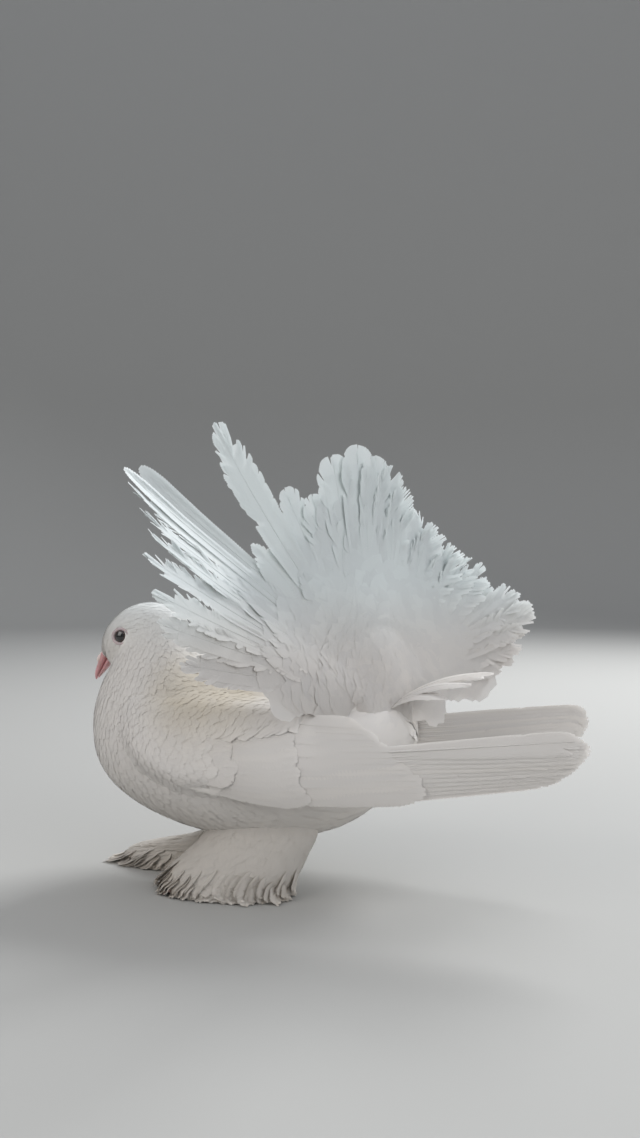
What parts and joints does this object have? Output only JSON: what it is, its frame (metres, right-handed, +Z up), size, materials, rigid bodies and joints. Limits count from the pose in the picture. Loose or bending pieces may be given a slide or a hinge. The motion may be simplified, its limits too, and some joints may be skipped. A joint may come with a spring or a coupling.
{
  "type": "fantail pigeon",
  "caption": "Life-size white fantail pigeon walking with folded wings, feathered feet and a raised, frayed tail fan, as a still museum model.",
  "frame": {"origin": "middle of the footprint of the whole bird, at floor level", "axes": "+Z up, the bill points towards -X and the bird's left side towards -Y"},
  "size_m": [0.277, 0.2432, 0.2432],
  "materials": {
    "feather_white": "soft matte",
    "bill_pink": "satin",
    "leg_red": "scaled skin",
    "eye_dark": "wet gloss"
  },
  "bodies": {
    "root": {"head": "feather_white", "neck": "feather_white", "torso": "feather_white", "rump": "feather_white", "tail_fan": "feather_white", "wing_left": "feather_white", "wing_right": "feather_white", "leg_left": "feather_white", "leg_right": "feather_white", "muff_left": "feather_white", "muff_right": "feather_white", "bill_upper": "bill_pink", "bill_lower": "bill_pink", "foot_left": "leg_red", "foot_right": "leg_red", "eye_left": "eye_dark", "eye_right": "eye_dark"}
  },
  "joints": []
}
